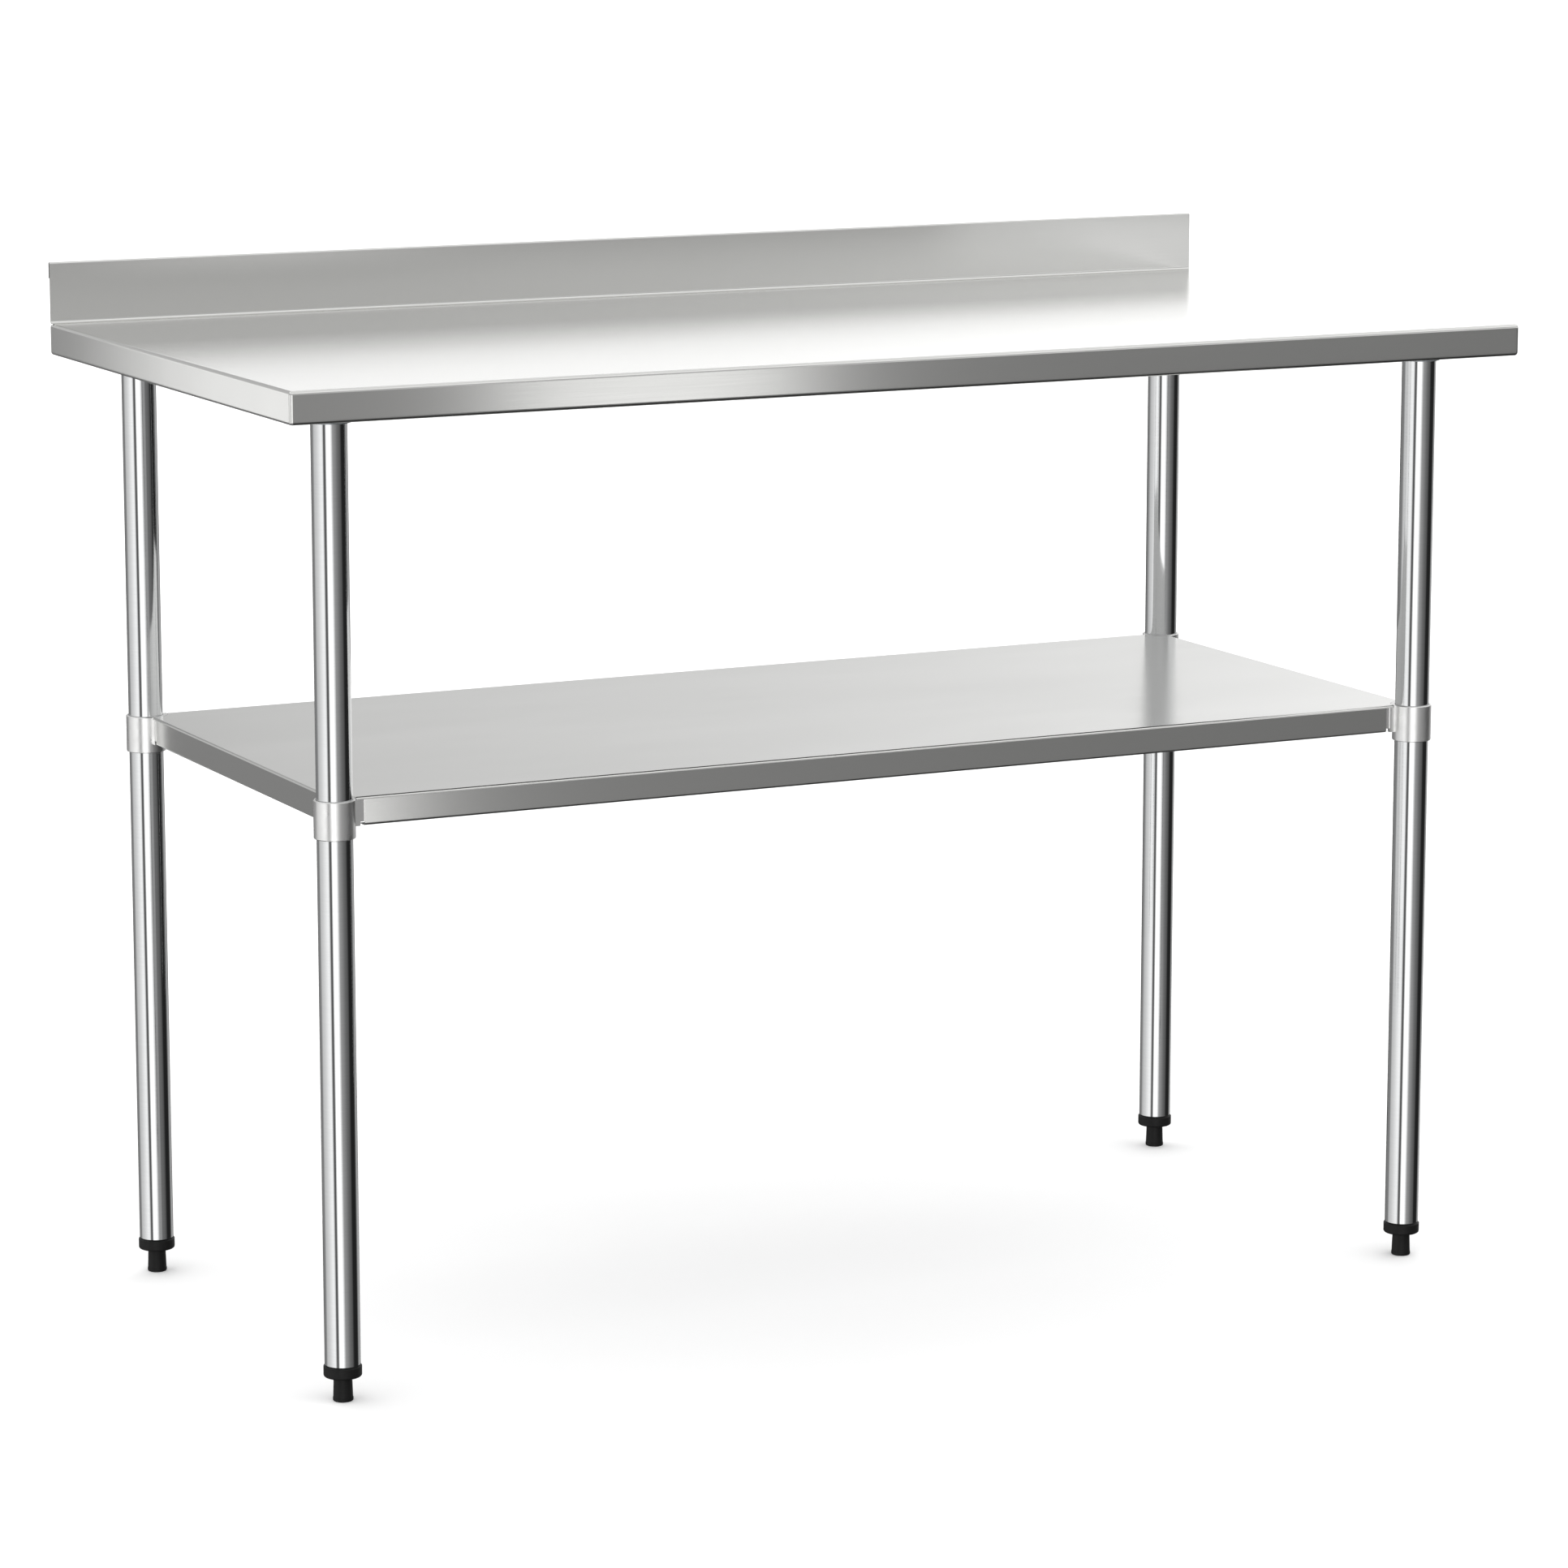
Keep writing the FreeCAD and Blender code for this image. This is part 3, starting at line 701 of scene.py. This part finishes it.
def make_surroundings(context, studio):
    """Even light all round, and the wall, bands, upper wall and ceiling that only the metal mirrors."""
    world = bpy.data.worlds.new("studio")
    context.scene.world = world
    tree = empty_tree(world)

    # Heading and elevation of the direction that is seen, each from 0 to 1 over its whole range.
    place = add_node(tree, "ShaderNodeTexCoord")
    turned = add_node(
        tree, "ShaderNodeMapping",
        inputs={"Vector": (place, "Generated"), "Rotation": (0.0, 0.0, studio.camera_turn)}
    )
    axes = add_node(tree, "ShaderNodeSeparateXYZ", inputs={0: (turned, 0)})
    back = add_node(tree, "ShaderNodeMath", {"operation": "MULTIPLY"}, {0: (axes, "Y"), 1: -1.0})
    around = add_node(tree, "ShaderNodeMath", {"operation": "ARCTAN2"}, {0: (axes, "X"), 1: (back, 0)})
    heading = add_node(
        tree, "ShaderNodeMapRange",
        inputs={"Value": (around, 0), "From Min": -math.pi, "From Max": math.pi}
    )
    upward = add_node(tree, "ShaderNodeMath", {"operation": "ARCSINE"}, {0: (axes, "Z")})
    elevation = add_node(
        tree, "ShaderNodeMapRange",
        inputs={"Value": (upward, 0), "From Min": -math.pi / 2, "From Max": math.pi / 2}
    )

    floor_share = add_node(tree, "ShaderNodeValToRGB", inputs={"Fac": (elevation, 0)})
    set_stops(floor_share.color_ramp, FLOOR_SHARE, 90)
    wall = add_node(tree, "ShaderNodeValToRGB", inputs={"Fac": (heading, 0)})
    set_stops(wall.color_ramp, WALL, 180)
    mirrored = add_node(
        tree, "ShaderNodeMix", {"data_type": "RGBA", "blend_type": "MULTIPLY"},
        {"Factor": 1.0, 6: (floor_share, 0), 7: (wall, 0)}
    )
    for foot, source, stops, reach in (
        (WALL_TOP, heading, LOW_BAND, 180),
        (LOW_BAND_TOP, heading, HIGH_BAND, 180),
        (HIGH_BAND_TOP, elevation, UPPER_WALL, 90),
    ):
        is_above = add_node(tree, "ShaderNodeValToRGB", inputs={"Fac": (elevation, 0)})
        set_stops(is_above.color_ramp, ((foot - BAND_BLUR, 0.0), (foot + BAND_BLUR, 1.0)), 90)
        layer = add_node(tree, "ShaderNodeValToRGB", inputs={"Fac": (source, 0)})
        set_stops(layer.color_ramp, stops, reach)
        mirrored = add_node(
            tree, "ShaderNodeMix", {"data_type": "RGBA"},
            {"Factor": (is_above, 0), 6: (mirrored, 2), 7: (layer, 0)}
        )

    ray = add_node(tree, "ShaderNodeLightPath")
    even = (studio.room_light,) * 3 + (1.0,)
    light = add_node(
        tree, "ShaderNodeMix", {"data_type": "RGBA"},
        {"Factor": (ray, "Is Glossy Ray"), 6: even, 7: (mirrored, 2)}
    )
    background = add_node(tree, "ShaderNodeBackground", inputs={"Color": (light, 2)})
    add_node(tree, "ShaderNodeOutputWorld", inputs={"Surface": (background, 0)})


class TABLE_OT_sheets(bpy.types.Operator):
    """Finish the worktop and the shelf in brushed stainless steel"""

    bl_idname = "table.sheets"
    bl_label = "Worktop and shelf"

    def execute(self, context):
        material = brushed_stainless(context.scene.table_finish)
        finish_nodes(["worktop_sheet", "shelf_sheet"], material)
        return {"FINISHED"}


class TABLE_OT_channels(bpy.types.Operator):
    """Finish the channels and the leg sockets in galvanised steel"""

    bl_idname = "table.channels"
    bl_label = "Channels and sockets"

    def execute(self, context):
        material = galvanised_steel(context.scene.table_finish)
        channels = ["cross_channel_left", "cross_channel_right", "long_channel", "shelf_channel"]
        finish_nodes(channels + per_corner("leg_socket"), material)
        return {"FINISHED"}


class TABLE_OT_legs(bpy.types.Operator):
    """Finish the leg tubes in polished stainless steel"""

    bl_idname = "table.legs"
    bl_label = "Legs"

    def execute(self, context):
        finish_nodes(per_corner("leg_tube"), polished_tube(context.scene.table_finish))
        return {"FINISHED"}


class TABLE_OT_collars(bpy.types.Operator):
    """Finish the shelf collars in blasted cast aluminium"""

    bl_idname = "table.collars"
    bl_label = "Shelf collars"

    def execute(self, context):
        finish_nodes(per_corner("shelf_collar"), cast_aluminium(context.scene.table_finish))
        return {"FINISHED"}


class TABLE_OT_feet(bpy.types.Operator):
    """Finish the inserts and levelling feet in moulded plastic"""

    bl_idname = "table.feet"
    bl_label = "Feet"

    def execute(self, context):
        material = moulded_polyethylene(context.scene.table_finish)
        finish_nodes(per_corner("foot_insert") + per_corner("levelling_foot"), material)
        return {"FINISHED"}


class TABLE_OT_fasteners(bpy.types.Operator):
    """Cut real threads on the studs and grub screws, and chamfer the nuts"""

    bl_idname = "table.fasteners"
    bl_label = "Studs, screws and nuts"

    def execute(self, context):
        details = context.scene.table_details
        material = zinc_plating(context.scene.table_finish)
        for corner in CORNERS:
            self.foot_stud(corner, details, material)
            self.foot_nut(corner, material)
            self.grub_screw("socket_screw_" + corner, corner, "frame", details, material)
            self.grub_screw("collar_screw_" + corner, corner, "shelf", details, material)
        self.weld_studs(details, material)
        self.weld_stud_nuts(material)
        return {"FINISHED"}

    def foot_stud(self, corner, details, material):
        node = "foot_stud_" + corner
        low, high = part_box(node)
        builder = bmesh.new()
        threaded_rod(builder, (high.x - low.x) / 2, details.foot_thread_pitch, low.z, high.z)
        place_mesh(builder, Matrix.Translation(node_axis(node)))
        self.keep(builder, "threaded_" + node, "stud_" + corner, node, material)

    def foot_nut(self, corner, material):
        node = "foot_nut_" + corner
        low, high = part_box(node)
        across = min(high.x - low.x, high.y - low.y)
        builder = bmesh.new()
        chamfered_nut(builder, across, across * FOOT_NUT_BORE_SHARE, low.z, high.z)
        place_mesh(builder, Matrix.Translation(node_axis(node)))
        self.keep(builder, "chamfered_" + node, "frame", node, material)

    def grub_screw(self, node, corner, body, details, material):
        low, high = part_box(node)
        radius = (high.z - low.z) / 2
        sign_x, sign_y = inward(corner)
        middle = (low + high) / 2
        direction = Vector((sign_x, sign_y, 0.0)).normalized()
        # A screw that lies at 45 degrees fills a square of its length and its diameter, each over root 2.
        length = (high.x - low.x) * math.sqrt(2) - 2 * radius
        builder = bmesh.new()
        # The key hole is as wide and as deep as the screw's radius.
        threaded_rod(builder, radius, details.small_thread_pitch, 0.0, length, radius, radius)
        turn = direction.to_track_quat("Z", "Y").to_matrix().to_4x4()
        start = middle - direction * (length / 2)
        place_mesh(builder, Matrix.Translation(start) @ turn)
        self.keep(builder, "threaded_" + node, body, node, material)

    def weld_studs(self, details, material):
        low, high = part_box("channel_studs")
        builder = bmesh.new()
        for middle in self.group_centres("channel_studs"):
            stud = bmesh.new()
            threaded_rod(stud, WELD_STUD_RADIUS, details.small_thread_pitch, low.z, high.z)
            self.add_copy(builder, stud, middle)
        self.keep(builder, "threaded_channel_studs", "frame", "channel_studs", material)

    def weld_stud_nuts(self, material):
        low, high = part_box("channel_nuts")
        builder = bmesh.new()
        for middle in self.group_centres("channel_nuts"):
            nut = bmesh.new()
            chamfered_nut(nut, WELD_NUT_ACROSS, WELD_NUT_BORE, low.z, high.z)
            self.add_copy(builder, nut, middle)
        self.keep(builder, "chamfered_channel_nuts", "frame", "channel_nuts", material)

    def group_centres(self, node):
        """Middles of the separate solids of a node."""
        source = bmesh.new()
        source.from_mesh(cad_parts[node].data)
        bmesh.ops.remove_doubles(source, verts=source.verts, dist=1e-6)
        waiting = set(source.verts)
        centres = []
        while waiting:
            group = [waiting.pop()]
            for vertex in group:
                for edge in vertex.link_edges:
                    other = edge.other_vert(vertex)
                    if other in waiting:
                        waiting.remove(other)
                        group.append(other)
            xs = [v.co.x for v in group]
            ys = [v.co.y for v in group]
            centres.append(Vector(((min(xs) + max(xs)) / 2, (min(ys) + max(ys)) / 2, 0.0)))
        source.free()
        return sorted(centres, key=lambda centre: (round(centre.x, 4), round(centre.y, 4)))

    def add_copy(self, builder, piece, place):
        """Join a small mesh into a builder, moved to its place."""
        place_mesh(piece, Matrix.Translation(place))
        data = bpy.data.meshes.new("copy")
        piece.to_mesh(data)
        piece.free()
        builder.from_mesh(data)
        bpy.data.meshes.remove(data)

    def keep(self, builder, name, body, node, material):
        """Turn a builder into a piece that stands for a solid."""
        piece = mesh_object(name, builder, material)
        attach(piece, body)
        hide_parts(node)


class TABLE_OT_welds(bpy.types.Operator):
    """Lay the weld beads of the sockets and collars and the spot welds of the shelf's channel"""

    bl_idname = "table.welds"
    bl_label = "Welds"

    def execute(self, context):
        details = context.scene.table_details
        material = weld_metal(context.scene.table_finish)
        for corner in CORNERS:
            self.socket_bead(corner, details, material)
            self.collar_bead(corner, details, material)
        self.spot_welds(details, material)
        return {"FINISHED"}

    def socket_bead(self, corner, details, material, steps=8):
        """Four short beads round the flange of a leg socket."""
        low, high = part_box("leg_socket_" + corner)
        axis = node_axis("leg_socket_" + corner)
        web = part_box("cross_channel_left")[0].z
        radius = (high.x - low.x) / 2
        builder = bmesh.new()
        for quarter in range(4):
            points = []
            for step in range(steps + 1):
                angle = math.radians(90 * quarter + SOCKET_BEAD_START + SOCKET_BEAD_SWEEP * step / steps)
                points.append(axis + Vector((radius * math.cos(angle), radius * math.sin(angle), web)))
            weld_bead(builder, points, details.weld_bead_radius, details.weld_ripple)
        self.keep(builder, "socket_weld_" + corner, "frame", material)

    def collar_bead(self, corner, details, material):
        """Bead along the slanted edge of a collar's plate, under the shelf."""
        low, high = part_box("shelf_collar_" + corner)
        axis = node_axis("leg_tube_" + corner)
        sign_x, sign_y = inward(corner)
        far = high.x - axis.x if sign_x > 0 else axis.x - low.x
        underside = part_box("shelf_channel")[1].z - details.weld_bead_radius / 2
        outer, inner = far - BEAD_END_GAP, COLLAR_SLANT + BEAD_END_GAP
        first = axis + Vector((sign_x * outer, sign_y * inner, underside))
        last = axis + Vector((sign_x * inner, sign_y * outer, underside))
        builder = bmesh.new()
        weld_bead(builder, [first, last], details.weld_bead_radius, details.weld_ripple)
        self.keep(builder, "collar_weld_" + corner, "shelf", material)

    def spot_welds(self, details, material):
        """Row of round marks along each flange of the shelf's channel."""
        low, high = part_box("shelf_channel")
        surface = high.z - CHANNEL_SHEET
        builder = bmesh.new()
        for y in (low.y + SPOT_WELD_INSET, high.y - SPOT_WELD_INSET):
            for index in range(details.spot_weld_count):
                x = low.x + (high.x - low.x) * (index + 0.5) / details.spot_weld_count
                self.spot(builder, Vector((x, y, surface)), details.spot_weld_radius)
        self.keep(builder, "shelf_channel_spot_welds", "shelf", material)

    def spot(self, builder, centre, radius):
        """Shallow dished mark with a raised rim, on an underside."""
        loops = []
        for share, height in SPOT_WELD_PROFILE:
            loops.append([p + centre for p in circle_loop(radius * share, height * MM, 20)])
        loft(builder, loops)

    def keep(self, builder, name, body, material):
        piece = mesh_object(name, builder, material)
        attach(piece, body)


class TABLE_PT_sidebar(bpy.types.Panel):
    """Buttons and settings of the work table"""

    bl_idname = "TABLE_PT_sidebar"
    bl_label = "Work table"
    bl_space_type = "VIEW_3D"
    bl_region_type = "UI"
    bl_category = "Work table"

    def draw(self, context):
        for operator in OPERATORS:
            self.layout.operator(operator.bl_idname)
        scene = context.scene
        for group in (scene.table_finish, scene.table_details, scene.table_studio):
            box = self.layout.box()
            for name in group.__annotations__:
                box.prop(group, name)


SETTINGS = (TableFinishSettings, TableDetailSettings, TableStudioSettings)
OPERATORS = (
    TABLE_OT_stage,
    TABLE_OT_sheets,
    TABLE_OT_channels,
    TABLE_OT_legs,
    TABLE_OT_collars,
    TABLE_OT_feet,
    TABLE_OT_fasteners,
    TABLE_OT_welds,
)


def register():
    for cls in SETTINGS + OPERATORS + (TABLE_PT_sidebar,):
        bpy.utils.register_class(cls)
    bpy.types.Scene.table_finish = PointerProperty(type=TableFinishSettings)
    bpy.types.Scene.table_details = PointerProperty(type=TableDetailSettings)
    bpy.types.Scene.table_studio = PointerProperty(type=TableStudioSettings)


def unregister():
    del bpy.types.Scene.table_studio
    del bpy.types.Scene.table_details
    del bpy.types.Scene.table_finish
    for cls in reversed(SETTINGS + OPERATORS + (TABLE_PT_sidebar,)):
        bpy.utils.unregister_class(cls)


def main():
    register()
    bpy.ops.table.stage()
    bpy.ops.table.sheets()
    bpy.ops.table.channels()
    bpy.ops.table.legs()
    bpy.ops.table.collars()
    bpy.ops.table.feet()
    bpy.ops.table.fasteners()
    bpy.ops.table.welds()


if __name__ == "__main__":
    main()
